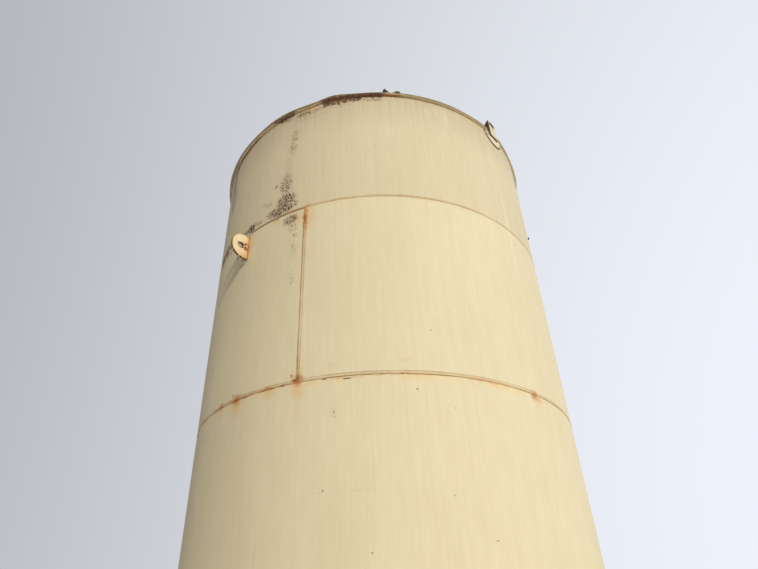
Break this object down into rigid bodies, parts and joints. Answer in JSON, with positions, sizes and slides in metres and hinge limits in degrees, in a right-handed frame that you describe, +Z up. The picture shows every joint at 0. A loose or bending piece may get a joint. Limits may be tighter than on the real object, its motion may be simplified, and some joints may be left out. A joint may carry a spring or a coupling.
{
  "type": "vertical storage tank",
  "caption": "Upright welded steel storage tank: flat bottom, rolled shell courses, shallow cone roof, lifting lugs, rim eye, manways and a flanged outlet.",
  "frame": {"origin": "middle of the underside of the bottom plate, on the floor", "axes": "+Z up along the tank's axis, -Y towards the side that the picture shows, +X to the right of that view"},
  "size_m": [3.3253, 3.334, 6.039],
  "materials": {
    "shell_enamel": "cream alkyd enamel on carbon steel plate, weathered, half matt",
    "roof_enamel": "cream enamel on carbon steel, chalked and dirty, with rust at its edges",
    "lug_enamel": "thick cream enamel on flame-cut plate, rust bleeding from its edges",
    "weld_bead": "painted weld bead with orange rust along its toes",
    "rusted_steel": "bare rusted carbon steel with flakes of old paint, matt"
  },
  "bodies": {
    "root": {"bottom_plate": "roof_enamel", "base_weld": "weld_bead", "shell_course_1_segment_1": "shell_enamel", "shell_course_1_segment_2": "shell_enamel", "shell_course_1_segment_3": "shell_enamel", "shell_course_1_segment_4": "shell_enamel", "shell_course_2_segment_1": "shell_enamel", "shell_course_2_segment_2": "shell_enamel", "shell_course_2_segment_3": "shell_enamel", "shell_course_2_segment_4": "shell_enamel", "shell_course_3_segment_1": "shell_enamel", "shell_course_3_segment_2": "shell_enamel", "shell_course_3_segment_3": "shell_enamel", "shell_course_3_segment_4": "shell_enamel", "shell_course_4_segment_1": "shell_enamel", "shell_course_4_segment_2": "shell_enamel", "shell_course_4_segment_3": "shell_enamel", "shell_course_4_segment_4": "shell_enamel", "girth_weld_1": "weld_bead", "girth_weld_2": "weld_bead", "girth_weld_3": "weld_bead", "vertical_weld_1": "weld_bead", "vertical_weld_2": "weld_bead", "vertical_weld_3": "weld_bead", "vertical_weld_4": "weld_bead", "roof_plate": "roof_enamel", "roof_edge_weld": "rusted_steel", "lifting_lug_front": "lug_enamel", "lifting_lug_back": "lug_enamel", "rim_eye_pad": "lug_enamel", "rim_eye_plate": "lug_enamel", "rim_eye_gusset_1": "rusted_steel", "rim_eye_gusset_2": "rusted_steel", "shell_manway_neck": "shell_enamel", "shell_manway_pad": "shell_enamel", "shell_manway_cover": "shell_enamel", "outlet_neck": "shell_enamel", "outlet_flange": "shell_enamel", "outlet_blind_flange": "rusted_steel", "roof_manway_neck": "roof_enamel", "roof_manway_cover": "roof_enamel", "roof_neck": "roof_enamel", "roof_neck_cap": "rusted_steel"}
  },
  "joints": []
}
